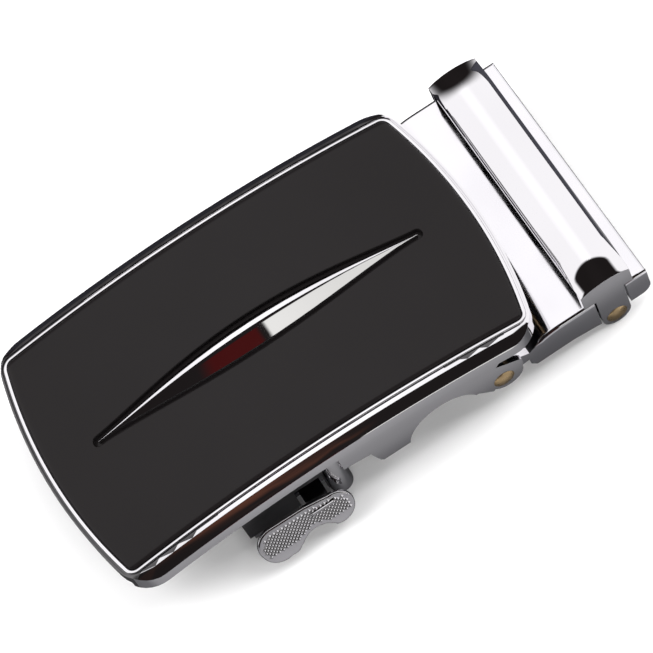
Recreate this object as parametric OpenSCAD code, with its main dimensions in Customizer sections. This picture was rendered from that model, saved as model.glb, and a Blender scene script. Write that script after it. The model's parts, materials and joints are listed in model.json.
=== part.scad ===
// Ratchet belt buckle, lying on its back.
// Millimetres. +X runs along the belt towards the strap clip, +Y across it away from
// the release lever, +Z out of the face. Each piece is drawn in the face's own frame,
// whose zero is the top of the inlay ring at the middle of the face, and is then set
// down so that the back plate lies on z = 0 with the origin under the bounding box.

/* [Face] */
// Length of the cast face along the belt
face_l = 65.6; // [64:0.1:67]
// Width of the cast face across the belt
face_w = 40; // [39.6:0.1:41]
// Radius of the bowed short ends, in plan
end_bow_r = 68.4; // [60:0.1:90]
// Radius of the face's outer corners, in plan
corner_r = 5; // [5:0.1:5.4]
// Radius that the face is arched to along the belt
arch_r = 153; // [140:1:180]
// Height of the rim's side below the top of the inlay ring
rim_h = 3.35; // [3:0.05:3.6]
// Width of the mirror bevel along each long side
bevel_w = 1.1; // [0.9:0.05:1.2]
// Drop of that bevel
bevel_drop = 0.94; // [0.7:0.02:1.2]

/* [Inlay] */
// Distance from the face's side to the middle of the inlay ring, at the long sides
ring_side = 2.15; // [2.1:0.05:2.3]
// Distance from the face's end to the middle of the inlay ring, at the short ends
ring_end = 0.75; // [0.7:0.01:0.9]
// Width of the inlay ring
ring_w = 0.6; // [0.5:0.02:0.64]
// How far the glossy panel stands above the ring
panel_rise = 0.35; // [0.1:0.05:0.5]
// Length of the spindle ornament
spindle_l = 48.6; // [40:0.1:52]
// Width of the spindle at its middle
spindle_w = 4.1; // [3:0.1:5]
// Height of the spindle's ridge above the panel
spindle_h = 2.1; // [1:0.1:2.5]
// Power that the spindle narrows with towards its tips
spindle_taper = 1.5; // [0.7:0.05:1.7]

/* [Belt] */
// Width of the belt that the buckle takes
belt_w = 35; // [33:0.5:35.2]

/* [Body walls] */
// Distance of the strap clip's hinge from the middle of the face
hinge_x = 23.5; // [23:0.1:24]
// Depth of that hinge below the top of the inlay ring
hinge_depth = 10.1; // [9.8:0.1:10.4]
// Radius of the hinge lugs
lug_r = 2.5; // [2.3:0.1:2.6]
// Depth of the feet that hold the pawl pin
foot_depth = 10.8; // [10.6:0.1:11.2]
// Depth of the recessed walls behind the release lever
recess_depth = 12; // [11.5:0.1:12.4]

/* [Strap clip] */
// Distance from the middle of the face to the free end of the clip
clip_end_x = 46.1; // [45.5:0.1:47]
// Width of the clip over its flanges
clip_w = 38; // [37.8:0.1:38]
// Depth of the clip plate's top below the top of the inlay ring
clip_depth = 8.1; // [8:0.1:8.2]
// Sheet thickness of the clip and the clamp jaw
sheet_t = 1; // [0.8:0.05:1]
// Width of the keeper bar along the belt
bar_w = 7.3; // [7:0.1:7.6]
// Clear height under the keeper bar
bar_gap = 3.35; // [3.2:0.05:3.6]
// Height of the keeper bar's crown above the clip plate
bar_h = 5.95; // [5.6:0.05:6.2]
// Distance from the middle of the face to the keeper bar's middle
bar_x = 40.4; // [40.2:0.1:40.6]

/* [Release lever] */
// Distance of the lever's pivot from the middle of the face
pawl_x = 7.1; // [7:0.1:7.4]
// Tilt of the thumb pad from the upright
pad_tilt = 26; // [20:1:30]
// Thickness of the thumb pad
pad_t = 1; // [0.8:0.1:1.2]

/* [Pins] */
// Radius of the riveted cross pins
pin_r = 1.25; // [1.1:0.05:1.3]
// Radius of their domed heads
rivet_r = 1.55; // [1.45:0.05:1.7]
// Height of those heads
rivet_h = 0.45; // [0.3:0.05:0.5]
// Radial clearance round a pin that something turns on
run_gap = 0.05; // [0.03:0.01:0.08]

/* [Hidden] */
$fn = 96;

// Radial clearance of a riveted pin in the piece that holds it
held_gap = 0.02;
// Margin by which a cutter runs past what it cuts
cut = 1;

// Face levels, as depths below the top of the inlay ring
shoulder_depth = 0.1;
shoulder_drop = 0.18;
edge_chamfer = 0.15;
groove_depth = 0.35;
groove_w = 0.16;
pocket_depth = 1.2;
ceiling_depth = 2;
// Depth below the arch at which the side walls start, inside the pocket's floor
wall_root = 1.6;

// Plan of the inlay ring's middle line
ring_half_l = face_l / 2 - ring_end;
ring_half_w = face_w / 2 - ring_side;
ring_corner = 1.5;
panel_gap = 0.06;
panel_edge = 0.8;

// Body walls, as distances from the middle plane
wall_out = face_w / 2 - 0.1;
wall_in = belt_w / 2 + 0.2;
channel_half = wall_in + 0.05;
recess_out = wall_in + 0.7;
lug_in = clip_w / 2 + 0.07;
recess_x = -14.8;
post_r = 1.65;
post_x = -1;
wing_in = wall_in - 0.05;
foot_x0 = 4.7;
foot_x1 = 9.5;
arch_cut_x = 14.4;
arch_cut_depth = 11.9;
arch_cut_r = 5.45;
lug_x0 = 18.8;
lug_end_x = 26.6;

// Release lever and pawl
pawl_depth = 9.6;
pawl_pin_r = 0.75;
pawl_hub_r = 1.4;
neck_x0 = -6.4;
neck_x1 = -3.3;
neck_top = 9.9;
neck_bottom = 11.4;
arm_y0 = 16.2;
arm_y1 = 17.4;
pad_top_y = 20.34;
pad_top_depth = 8.62;

// Strap clip
clip_half = clip_w / 2;
lip_r = 9.1;
lip_x = 33.2;
clip_x0 = 27.7;
ear_r = 2.3;
flange_depth = 13.35;
bar_end_bend = 6.5;
bar_end_y = 13.8;
tab_w = 4.2;
tab_x = bar_x + 0.15;
tab_gap = 0.25;
tab_r = tab_w / 2;

// The back plate lies on the surface, and so do the clip's tabs
crest_h = 16.3;
clip_pin_depth = crest_h - tab_r;
jaw_hub_r = 1.75;
plate_t = 0.9;

// The bounding box runs from the face's left end to the clip's end, and from the
// thumb pad's lower edge to the far rivet head
pad_low = 5.9;
y_min = -(pad_top_y + pad_low * sin(pad_tilt));
y_max = wall_out + rivet_h;
centre_x = (clip_end_x - face_l / 2) / 2;
centre_y = (y_min + y_max) / 2;

chrome = [0.86, 0.86, 0.88];
steel = [0.72, 0.73, 0.75];
brass = [0.78, 0.62, 0.36];
gloss_black = [0.05, 0.045, 0.05];

// Sets a piece down from the face's frame into the part's frame
module lay_down() {
    translate([-centre_x, -centre_y, crest_h]) children();
}

// Plan points of a barrel outline: straight sides, bowed ends and tangent round corners
function barrel_quarter(half_l, half_w, bow, corner) =
    let (
        bow_x = half_l - bow,
        corner_y = half_w - corner,
        corner_x = bow_x + sqrt(pow(bow - corner, 2) - pow(corner_y, 2)),
        meet = asin(corner_y / (bow - corner)),
        bow_steps = 10,
        corner_steps = 8
    )
    concat(
        [
            for (i = [0:bow_steps])
                let (a = meet * i / bow_steps)
                [bow_x + bow * cos(a), bow * sin(a)]
        ],
        [
            for (i = [1:corner_steps])
                let (a = meet + (90 - meet) * i / corner_steps)
                [corner_x + corner * cos(a), corner_y + corner * sin(a)]
        ]
    );

module barrel_outline(half_l, half_w, bow, corner) {
    q = barrel_quarter(half_l, half_w, bow, corner);
    last = len(q) - 1;
    polygon(concat(
        q,
        [for (i = [last:-1:1]) [-q[i][0], q[i][1]]],
        [for (i = [0:last]) [-q[i][0], -q[i][1]]],
        [for (i = [last:-1:1]) [q[i][0], -q[i][1]]]
    ));
}

// Turns a profile of [radius, y] points about the arch's axis
module arch_sweep(profile) {
    sweep_deg = 30;
    translate([0, 0, -arch_r])
        rotate([90, 0, 0])
        rotate([0, 0, 90 - sweep_deg / 2])
        rotate_extrude(angle = sweep_deg, $fn = 720) polygon(profile);
}

// A slab between two depths below the arch, wide enough to cover the face
module arch_slab(depth_top, depth_bottom) {
    half = face_w / 2 + cut;
    arch_sweep([
        [arch_r - depth_bottom, -half], [arch_r - depth_top, -half],
        [arch_r - depth_top, half], [arch_r - depth_bottom, half]
    ]);
}

// Stands an outline up through the face
module stand_up() {
    translate([0, 0, -15]) linear_extrude(height = 20) children();
}

// Extrudes an [x, z] outline across the belt from y0 to y1
module across(y0, y1) {
    translate([0, y1, 0]) rotate([90, 0, 0]) linear_extrude(height = y1 - y0) children();
}

// Outline of the inlay ring, grown by a distance from its middle line
module ring_outline(grow) {
    barrel_outline(ring_half_l + grow, ring_half_w + grow, end_bow_r - ring_end + grow,
        ring_corner + grow);
}

// Height of the arch at a distance along the belt
function arch_z(x) = sqrt(pow(arch_r, 2) - pow(x, 2)) - arch_r;

// Half profile of the face across the belt: shoulder, mirror bevel and rim, as depths
function shell_half() =
    let (
        half = face_w / 2,
        bevel_top = shoulder_depth + shoulder_drop,
        bevel_foot = bevel_top + bevel_drop
    )
    [
        [ceiling_depth, channel_half], [rim_h, channel_half], [rim_h, half + cut],
        [bevel_foot + 1.3 * (cut + edge_chamfer), half + cut],
        [bevel_foot, half - edge_chamfer],
        [bevel_top, half - edge_chamfer - bevel_w],
        [shoulder_depth, half - ring_side + ring_w / 2]
    ];

// Point where a side wall starts, inside the thickness of the face
function wall_top(x) = [x, arch_z(x) - wall_root];

// Shell of the face with its rim and bevels
module face_shell() {
    h = shell_half();
    last = len(h) - 1;
    intersection() {
        arch_sweep(concat(
            [for (p = h) [arch_r - p[0], p[1]]],
            [for (i = [last:-1:0]) [arch_r - h[i][0], -h[i][1]]]
        ));
        stand_up() barrel_outline(face_l / 2, face_w / 2, end_bow_r, corner_r);
    }
}

// The block that the pocket is cut in, which leaves the raised ring
module ring_block() {
    intersection() {
        arch_slab(0, pocket_depth + 0.2);
        stand_up() ring_outline(ring_w / 2);
    }
}

// Side profile of the flush wall, with its foot, arched cut and hinge lug
module wall_outline() {
    difference() {
        union() {
            polygon([
                wall_top(0), [0, -6.8], [3.9, -7.3], [foot_x0, -10.3],
                [foot_x0 + 0.4, -foot_depth], [foot_x1 - 0.3, -foot_depth],
                [10.9, -7.9], [20, -9.8], [hinge_x, -hinge_depth],
                [lug_end_x, -9.4], wall_top(lug_end_x), wall_top(lug_end_x / 2)
            ]);
            translate([hinge_x + 0.4, -hinge_depth + 0.2]) circle(r = lug_r);
            polygon([
                [17, -7], [hinge_x - 1.9, -hinge_depth - lug_r + 0.95],
                [hinge_x, -hinge_depth], [lug_end_x, -7.5]
            ]);
        }
        translate([arch_cut_x, -arch_cut_depth]) circle(r = arch_cut_r);
        slot_outline();
    }
}

// The open slot over the lug, where the clip's ear comes in
module slot_outline() {
    polygon([
        [hinge_x - 0.4, -6.1], [hinge_x + 0.2, -5.45], [lug_end_x + cut, -5.45],
        [lug_end_x + cut, -8.4], [lug_end_x, -7.9]
    ]);
}

// One side's walls, drawn for the far side; the near side has the lever's notch
module side_walls(lever_side) {
    across(wall_in, wall_out) intersection() {
        wall_outline();
        translate([0, -20]) square([lug_x0, 20]);
    }
    across(lug_in, wall_out) intersection() {
        wall_outline();
        translate([lug_x0 - 0.5, -20]) square([10, 20]);
    }
    across(wall_in, recess_out) difference() {
        polygon([
            wall_top(recess_x), [recess_x, -recess_depth], [post_x, -recess_depth],
            wall_top(post_x)
        ]);
        if (lever_side) {
            translate([neck_x0 - 0.6, -recess_depth - cut])
                square([neck_x1 - neck_x0 + 1.1, recess_depth + cut - 7.7]);
        }
    }
    intersection() {
        translate([post_x, wall_out - post_r, -recess_depth - 0.3])
            cylinder(r = post_r, h = recess_depth + 0.3 - wall_root);
        translate([post_x - 2 * post_r, wall_in, -20]) cube([4 * post_r, face_w, 20]);
    }
}

module buckle_body() {
    color(chrome) lay_down() difference() {
        union() {
            difference() {
                face_shell();
                intersection() {
                    arch_slab(-cut, groove_depth);
                    stand_up() ring_outline(ring_w / 2 + groove_w);
                }
            }
            ring_block();
            side_walls(false);
            mirror([0, 1, 0]) side_walls(true);
        }
        intersection() {
            arch_slab(-cut, pocket_depth);
            stand_up() ring_outline(-ring_w / 2);
        }
        translate([hinge_x, 0, -hinge_depth]) rotate([90, 0, 0])
            cylinder(r = pin_r + held_gap, h = face_w + 2, center = true);
        translate([pawl_x, 0, -pawl_depth]) rotate([90, 0, 0])
            cylinder(r = pawl_pin_r + held_gap, h = 2 * wall_in + 1.2, center = true);
    }
}

// The glossy panel in the ring, with its raised pillow and the pocket round the spindle
module face_panel() {
    color(gloss_black) lay_down() difference() {
        intersection() {
            union() {
                arch_slab(0, pocket_depth - 0.02);
                intersection() {
                    arch_slab(-panel_rise, 0);
                    stand_up() ring_outline(-ring_w / 2 - panel_edge);
                }
            }
            stand_up() ring_outline(-ring_w / 2 - panel_gap);
        }
        intersection() {
            arch_slab(-cut, pocket_depth - 0.7);
            stand_up() spindle_outline(0.75);
        }
    }
}

// Half width of the spindle at a distance along it, for a margin round it
function spindle_half(x, margin) =
    (spindle_w / 2) * pow(max(0, 1 - pow(2 * x / spindle_l, 2)), spindle_taper) + margin;

// Plan of the spindle's pocket, a margin wider all round
module spindle_outline(margin) {
    steps = 12;
    half = spindle_l / 2;
    side = [
        for (i = [-steps:steps])
            let (x = half * sin(90 * i / steps))
            [x, spindle_half(x, margin)]
    ];
    tip = [for (a = [60:-30:-60]) [half + margin * cos(a), margin * sin(a)]];
    polygon(concat(
        side, tip,
        [for (i = [2 * steps:-1:0]) [side[i][0], -side[i][1]]],
        [for (i = [4:-1:0]) [-tip[i][0], tip[i][1]]]
    ));
}

// The dart: a row of ridged sections that follow the arch, skinned as one solid
module spindle() {
    steps = 14;
    tip = 0.06;
    floor_depth = pocket_depth - 0.7 - 0.03;
    sides = [[-1, 0], [-0.36, 0.8], [-0.14, 1], [0.14, 1], [0.36, 0.8], [1, 0]];
    n = len(sides) + 2;
    section = function (x)
        let (w = spindle_half(x, tip), z = arch_z(x),
            rise = (spindle_h + panel_rise) * w / spindle_half(0, tip))
        concat(
            [[x, -w, z - floor_depth]],
            [for (s = sides) [x, s[0] * w, z + panel_rise * 0.2 + s[1] * rise]],
            [[x, w, z - floor_depth]]
        );
    xs = [for (i = [-steps:steps]) spindle_l / 2 * sin(90 * i / steps)];
    rows = len(xs);
    points = [for (x = xs) each section(x)];
    skin = [
        for (r = [0:rows - 2], k = [0:n - 1])
            let (a = r * n + k, b = r * n + (k + 1) % n)
            each [[a, a + n, b], [b, a + n, b + n]]
    ];
    caps = [[for (k = [0:n - 1]) k], [for (k = [n - 1:-1:0]) (rows - 1) * n + k]];
    color(chrome) lay_down() polyhedron(points, concat(skin, caps));
}

// The bowed strap at the back that keeps the belt in and carries the buckle's weight
module back_plate() {
    flat = 12;
    wing = 15.9;
    rise_z = 1.9;
    x0 = recess_x + 0.6;
    x1 = foot_x1 - 0.5;
    module bow(x_from, x_to, pts) {
        translate([x_from, 0, -crest_h]) rotate([90, 0, 90])
            linear_extrude(height = x_to - x_from) polygon(pts);
    }
    module mirrored_bow(x_from, x_to, pts) {
        bow(x_from, x_to, pts);
        mirror([0, 1, 0]) bow(x_from, x_to, pts);
    }
    wing_z = crest_h - recess_depth - 0.02;
    leg_z = crest_h - foot_depth - 0.02;
    color(steel) lay_down() {
        mirrored_bow(x0, x1, [
            [-0.1, 0], [flat, 0], [wing, rise_z], [wing, rise_z + plate_t],
            [flat - 0.2, plate_t], [-0.1, plate_t]
        ]);
        mirrored_bow(x0, neck_x0 - 1, [
            [wing - 0.2, rise_z - 0.05], [recess_out - 0.1, 3.2], [recess_out - 0.1, wing_z],
            [wing_in, wing_z], [wing_in, 3.6], [wing - 0.2, rise_z + plate_t - 0.05]
        ]);
        mirrored_bow(foot_x0 + 0.6, x1, [
            [wing - 0.2, rise_z - 0.05], [recess_out - 0.1, 3.2], [recess_out - 0.1, leg_z],
            [wing_in, leg_z], [wing_in, 3.6], [wing - 0.2, rise_z + plate_t - 0.05]
        ]);
    }
}

// A cross pin with a domed rivet head at each end
module riveted_pin(half, shank_r) {
    cap_r = (pow(rivet_r, 2) + pow(rivet_h, 2)) / (2 * rivet_h);
    rotate([90, 0, 0]) {
        cylinder(r = shank_r, h = 2 * half + 0.02, center = true);
        for (s = [-1, 1]) mirror([0, 0, s < 0 ? 1 : 0]) intersection() {
            translate([0, 0, half + rivet_h - cap_r]) sphere(r = cap_r);
            translate([0, 0, half + 0.01]) cylinder(r = rivet_r, h = rivet_h);
        }
    }
}

module hinge_pin() {
    color(brass) lay_down() translate([hinge_x, 0, -hinge_depth])
        riveted_pin(wall_out, pin_r);
}

module pawl_pin() {
    color(steel) lay_down() translate([pawl_x, 0, -pawl_depth]) rotate([90, 0, 0])
        cylinder(r = pawl_pin_r, h = 2 * wall_in + 1, center = true);
}

// Everything under the clip plate's surface, which rolls down to a lip at the hinge end
module under_surface(t) {
    translate([lip_x - 0.01, -20]) square([20, 20 - clip_depth - t]);
    translate([lip_x, -clip_depth - lip_r]) circle(r = lip_r - t, $fn = 180);
}

// Side profile of a flange, with the ear that turns on the hinge pin
module flange_outline() {
    corner = 1.6;
    intersection() {
        under_surface(0);
        difference() {
            polygon([
                [clip_x0, -8], [clip_end_x, -8], [clip_end_x, -flange_depth],
                [tab_x, -flange_depth], [tab_x, -flange_depth - 0.9],
                [tab_x - tab_r, -flange_depth - 0.9], [tab_x - 6.5, -flange_depth - 0.3],
                [clip_x0 + 0.7, -flange_depth - 0.4], [clip_x0, -flange_depth + 0.6]
            ]);
            difference() {
                translate([clip_end_x - corner, -flange_depth - cut])
                    square([corner + cut, corner + cut]);
                translate([clip_end_x - corner, -flange_depth + corner]) circle(r = corner);
            }
        }
    }
    translate([hinge_x, -hinge_depth]) circle(r = ear_r);
    polygon([
        [hinge_x + 0.5, -hinge_depth + ear_r - 0.05], [clip_x0 + 0.5, -9.9],
        [clip_x0 + 0.5, -11.3], [hinge_x + 1.2, -hinge_depth - 1.8]
    ]);
}

module clip_plate() {
    color(steel) lay_down() difference() {
        union() {
            across(-clip_half, clip_half) intersection() {
                difference() {
                    under_surface(0);
                    under_surface(sheet_t);
                }
                translate([clip_x0, -12]) square([clip_end_x - clip_x0, 6]);
            }
            for (s = [0, 1]) mirror([0, s, 0])
                across(clip_half - sheet_t, clip_half) flange_outline();
        }
        for (s = [0, 1]) mirror([0, s, 0])
            translate([tab_x - tab_r - tab_gap, clip_half - sheet_t - 0.12, -20])
                cube([tab_w + 2 * tab_gap, sheet_t + cut, 20]);
        translate([hinge_x, 0, -hinge_depth]) rotate([90, 0, 0])
            cylinder(r = pin_r + run_gap, h = clip_w + 2, center = true);
    }
}

// The bar's crown: a low round arch along the belt
module crown_outline() {
    side_depth = clip_depth - bar_gap;
    top_depth = clip_depth - bar_h;
    sag = 1.75;
    crown_r = (pow(bar_w / 2, 2) + pow(sag, 2)) / (2 * sag);
    intersection() {
        translate([bar_x - bar_w / 2, -side_depth]) square([bar_w, side_depth]);
        translate([bar_x, -top_depth - crown_r]) circle(r = crown_r);
    }
}

// The bar's length profile, whose ends bend down to a small chamfer
module bar_ends_outline() {
    top = clip_depth - bar_h;
    bend_deg = 25;
    steps = 6;
    bend = [
        for (i = [0:steps])
            let (a = bend_deg * i / steps)
            [bar_end_y + bar_end_bend * sin(a), -top - bar_end_bend * (1 - cos(a))]
    ];
    right = concat(bend, [[clip_half, -top - 1.85], [clip_half, -clip_depth]]);
    n = len(right);
    polygon(concat(right, [for (i = [n - 1:-1:0]) [-right[i][0], right[i][1]]]));
}

module keeper_bar() {
    post_in = clip_half - sheet_t;
    color(chrome) lay_down() difference() {
        union() {
            intersection() {
                across(-clip_half, clip_half) {
                    crown_outline();
                }
                bar_length_cut();
            }
            for (s = [0, 1]) mirror([0, s, 0]) {
                intersection() {
                    across(post_in, clip_half) post_outline();
                    bar_length_cut();
                }
                across(post_in, clip_half) tab_outline();
            }
        }
        translate([tab_x, 0, -clip_pin_depth]) rotate([90, 0, 0])
            cylinder(r = pin_r + held_gap, h = clip_w + 2, center = true);
    }
}

module bar_length_cut() {
    translate([bar_x - bar_w, 0, 0]) rotate([90, 0, 90])
        linear_extrude(height = 2 * bar_w) bar_ends_outline();
}

// End wall under the crown, down to the clip plate
module post_outline() {
    translate([bar_x - bar_w / 2, -clip_depth + 0.03])
        square([bar_w, bar_gap + 0.2]);
    crown_outline();
}

// The tab that drops through the flange's notch and holds the clip pin
module tab_outline() {
    translate([tab_x - tab_r, -clip_pin_depth])
        square([tab_w, clip_pin_depth - clip_depth + 0.2]);
    translate([tab_x, -clip_pin_depth]) circle(r = tab_r);
}

module clip_pin() {
    color(brass) lay_down() translate([tab_x, 0, -clip_pin_depth])
        riveted_pin(clip_half, pin_r);
}

// The toothed flap at the clip's back that pinches the strap's end
module clamp_jaw() {
    half = 17.4;
    teeth = 11;
    pitch = 3;
    tooth_h = 0.8;
    flap_x0 = 29.6;
    flap_top = clip_pin_depth - 0.1;
    tooth_x = tab_x - 1.9;
    color(steel) lay_down() difference() {
        union() {
            across(-half, half) {
                translate([tab_x, -clip_pin_depth]) circle(r = jaw_hub_r);
                polygon([
                    [tab_x, -flap_top], [flap_x0 + 0.8, -flap_top],
                    [flap_x0, -flap_top - 0.7], [flap_x0 + 0.5, -flap_top - sheet_t - 0.5],
                    [flap_x0 + 1.4, -flap_top - sheet_t], [tab_x, -flap_top - sheet_t]
                ]);
                polygon([
                    [tooth_x, -flap_top - 0.2], [tooth_x, -flap_top + 0.9],
                    [tab_x, -clip_pin_depth + jaw_hub_r - 0.02], [tab_x, -flap_top - 0.2]
                ]);
            }
            for (i = [0:teeth - 1]) {
                translate([tooth_x, (i - (teeth - 1) / 2) * pitch, -flap_top + 0.85])
                    rotate([90, 0, 90]) linear_extrude(height = 0.7)
                        polygon([[-0.9, 0], [0.9, 0], [0, tooth_h]]);
            }
        }
        translate([tab_x, 0, -clip_pin_depth]) rotate([90, 0, 0])
            cylinder(r = pin_r + run_gap, h = 2 * half + 2, center = true);
    }
}

// Plan of the kidney-shaped thumb pad: [x, distance up the pad from its top edge]
module pad_outline(inset) {
    difference() {
        union() {
            translate([-12.1, -2.75]) circle(r = 2.75 - inset);
            translate([-12.1, -3.25]) circle(r = 2.65 - inset);
            translate([-10.9, -4.25]) circle(r = 1.6 - inset);
            translate([-3.4, -3.15]) circle(r = 2.55 - inset);
            polygon([
                [-12.1, -inset], [-7, -0.1 - inset], [-3.6, -0.6 - inset],
                [-3.45, -5.2 + inset], [-8.6, -4.8 + inset], [-10.9, -5.8 + inset],
                [-12.1, -5.85 + inset]
            ]);
        }
        translate([-7, -7.1]) circle(r = 3.05 + inset);
    }
}

module release_lever() {
    color(chrome) lay_down() difference() {
        union() {
            translate([0, -pad_top_y, -pad_top_depth]) rotate([90 - pad_tilt, 0, 0])
            {
                translate([0, 0, -pad_t / 2]) linear_extrude(height = pad_t / 2)
                    pad_outline(0);
                translate([0, 0, -pad_t]) linear_extrude(height = pad_t / 2)
                    pad_outline(0.35);
            }
            translate([neck_x0, -arm_y1 - 3.9, -neck_bottom])
                cube([neck_x1 - neck_x0, 3.9 + arm_y1 - arm_y0, neck_bottom - neck_top]);
            across(-arm_y1, -arm_y0) {
                polygon([
                    [neck_x0, -neck_top], [pawl_x, -neck_top],
                    [pawl_x, -pawl_depth - pawl_hub_r + 0.1], [neck_x0, -neck_bottom]
                ]);
                translate([pawl_x, -pawl_depth]) circle(r = pawl_hub_r);
            }
        }
        translate([pawl_x, 0, -pawl_depth]) rotate([90, 0, 0])
            cylinder(r = pawl_pin_r + run_gap, h = face_w, center = true);
    }
}

// The pawl turns with the lever; its edge catches the belt's rack
module pawl() {
    half = 16.15;
    color(steel) lay_down() difference() {
        across(-half, half) {
            translate([pawl_x, -pawl_depth]) circle(r = pawl_hub_r);
            polygon([
                [pawl_x, -pawl_depth - pawl_hub_r + 0.05], [12.7, -10.5], [13.4, -8.25],
                [12.1, -9.1], [pawl_x, -pawl_depth + 0.6]
            ]);
        }
        translate([pawl_x, 0, -pawl_depth]) rotate([90, 0, 0])
            cylinder(r = pawl_pin_r + run_gap, h = face_w, center = true);
    }
}

buckle_body();
face_panel();
spindle();
back_plate();
hinge_pin();
pawl_pin();
clip_plate();
keeper_bar();
clip_pin();
clamp_jaw();
release_lever();
pawl();
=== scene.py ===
"""Ratchet belt buckle: finished pieces, finishes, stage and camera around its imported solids."""
import json
import math

import bmesh
import bpy
from mathutils import Matrix, Vector


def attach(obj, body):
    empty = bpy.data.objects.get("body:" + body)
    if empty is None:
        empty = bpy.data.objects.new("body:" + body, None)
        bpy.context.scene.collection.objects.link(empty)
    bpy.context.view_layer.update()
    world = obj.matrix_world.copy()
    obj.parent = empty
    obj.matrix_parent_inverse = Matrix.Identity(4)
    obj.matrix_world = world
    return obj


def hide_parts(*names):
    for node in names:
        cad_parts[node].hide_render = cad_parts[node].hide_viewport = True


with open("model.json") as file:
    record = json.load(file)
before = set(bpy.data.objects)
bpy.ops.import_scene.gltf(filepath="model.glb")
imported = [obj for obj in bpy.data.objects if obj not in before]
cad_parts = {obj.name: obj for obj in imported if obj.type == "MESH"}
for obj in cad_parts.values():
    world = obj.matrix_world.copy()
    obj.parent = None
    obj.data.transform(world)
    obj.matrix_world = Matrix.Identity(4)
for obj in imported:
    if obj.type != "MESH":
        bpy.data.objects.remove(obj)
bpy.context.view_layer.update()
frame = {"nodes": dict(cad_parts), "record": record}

bl_info = {
    "name": "Ratchet belt buckle",
    "version": (1, 0, 0),
    "blender": (4, 5, 0),
    "location": "3D View > Sidebar > Buckle",
    "description": "Finishes the pieces of a ratchet belt buckle and sets its stage",
    "category": "Add Mesh",
}

NODES = frame["nodes"]
BODY_OF = {n: b for b, ns in frame["record"]["behaviour"]["bodies"].items() for n in ns}
COLOUR_OF = {m["slot"]: tuple(m["base_color"]) for m in frame["record"]["materials"]}

MM = 0.001
# From the face's own frame, whose zero is the ring's crest at the middle, to the part's
FACE_ORIGIN = Vector((-6.65, 1.2882, 16.3)) * MM
ARCH_R = 153.0
RING_HALF_L = 32.05
RING_HALF_W = 17.85
END_BOW = 67.65
RING_CORNER = 1.5
# The dark groove round the ring, from the ring's middle line
GROOVE_OUT = 0.5
GROOVE_DEPTH = 0.36
# The ring's rounded crest: distance from its middle line, and height
RING_PROFILE = ((-0.29, -0.7), (-0.29, -0.2), (-0.27, -0.1), (-0.21, -0.035), (-0.12, -0.008),
                (0.0, 0.0), (0.1, -0.008), (0.17, -0.04), (0.21, -0.11), (0.22, -0.2),
                (0.22, -0.7))
# From the ring's middle line to the panel's side
PANEL_INSET = 0.36
# Width and share of the rise of each step of the panel's pillow edge
PILLOW_STEPS = ((0.06, 0.24), (0.09, 0.22), (0.13, 0.2), (0.18, 0.16), (0.24, 0.12),
                (0.3, 0.06))
# The keeper bar's dome: its middle, width, crown, and the bends down to its ends
BAR_X = 40.4
BAR_W = 7.3
BAR_TOP = -2.15
BAR_CROWN_R = 4.68
BAR_BEND_Y = 13.8
BAR_BEND_R = 6.5
# Length of the bend, and the straight slope that follows it
BAR_BEND_L = 2.75
BAR_SLOPE = 0.52
BAR_END_Y = 19.0
# Distance from the bar's middle line past which its round is not followed
BAR_ROUND_X = 4.2
# Share of its round that the bar's crown has lost at its ends
BAR_FLATTEN = 0.5
CLIP_END_X = 46.1
BOW_STEPS = 14
CORNER_STEPS = 6
SPINDLE_HALF_L = 24.3
SPINDLE_HALF_W = 2.05
SPINDLE_TAPER = 1.5
# The panel's underside, and the foot of its pillow edge
PANEL_FOOT = -1.18
PANEL_EDGE = -0.06
# Points round the spindle's pocket
POCKET_STEPS = 96
# The pocket's rim: how far its edge turns at least, and the width of its rounding
POCKET_RIM_ANGLE = 70
POCKET_RIM_W = 0.12
# Edges that turn by more than this many degrees are rounded
EDGE_ANGLE = 34.0
# The clip plate's long bends and outer end are edges that turn by more than this
RIM_ANGLE = 60
# How close an edge lies to a level that it is looked for at, in millimetres
NEAR = 0.02
# The inside of the casting, nearer the middle, lower and further left: a dull, rough finish whose
# darker colour is painted shade under the rim
SHADED_CASTING_HALF_W = 18.45
SHADED_CASTING_TOP = -1.3
SHADED_CASTING_RIGHT = 26.5
# Half width of the clip over its flanges, and the stretch of it that is bent
CLIP_HALF = 19.0
CLIP_BEND_X = 28.2
CLIP_BEND_LOW = -8.9
CLIP_TOP_LOW = -8.15


def at(x, y, z):
    """A point of the face's frame, in millimetres, as a place in the part's frame."""
    return FACE_ORIGIN + Vector((x, y, z)) * MM


def arch_z(x):
    return math.sqrt(ARCH_R ** 2 - x ** 2) - ARCH_R


# Small modelling helpers

def take(obj):
    """Makes obj the only selected and active object, in object mode."""
    if bpy.context.object and bpy.context.object.mode != "OBJECT":
        bpy.ops.object.mode_set(mode="OBJECT")
    bpy.ops.object.select_all(action="DESELECT")
    obj.select_set(True)
    bpy.context.view_layer.objects.active = obj


def clear():
    if bpy.context.object and bpy.context.object.mode != "OBJECT":
        bpy.ops.object.mode_set(mode="OBJECT")
    bpy.ops.object.select_all(action="DESELECT")


def settle(obj):
    """Puts the object at the origin, unturned and unscaled, with its place in its mesh."""
    take(obj)
    bpy.ops.object.transform_apply(location=True, rotation=True, scale=True)


def apply_modifier(obj, kind, **values):
    take(obj)
    mod = obj.modifiers.new(kind.lower(), kind)
    for key, value in values.items():
        setattr(mod, key, value)
    bpy.ops.object.modifier_apply(modifier=mod.name)


def cut_with(obj, cutter, operation):
    """Joins, cuts or keeps what two closed shapes share, and drops the second one."""
    apply_modifier(obj, "BOOLEAN", object=cutter, operation=operation, solver="EXACT")
    bpy.data.objects.remove(cutter)
    if not obj.data.polygons:
        raise RuntimeError(f"nothing is left of {obj.name}")


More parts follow.
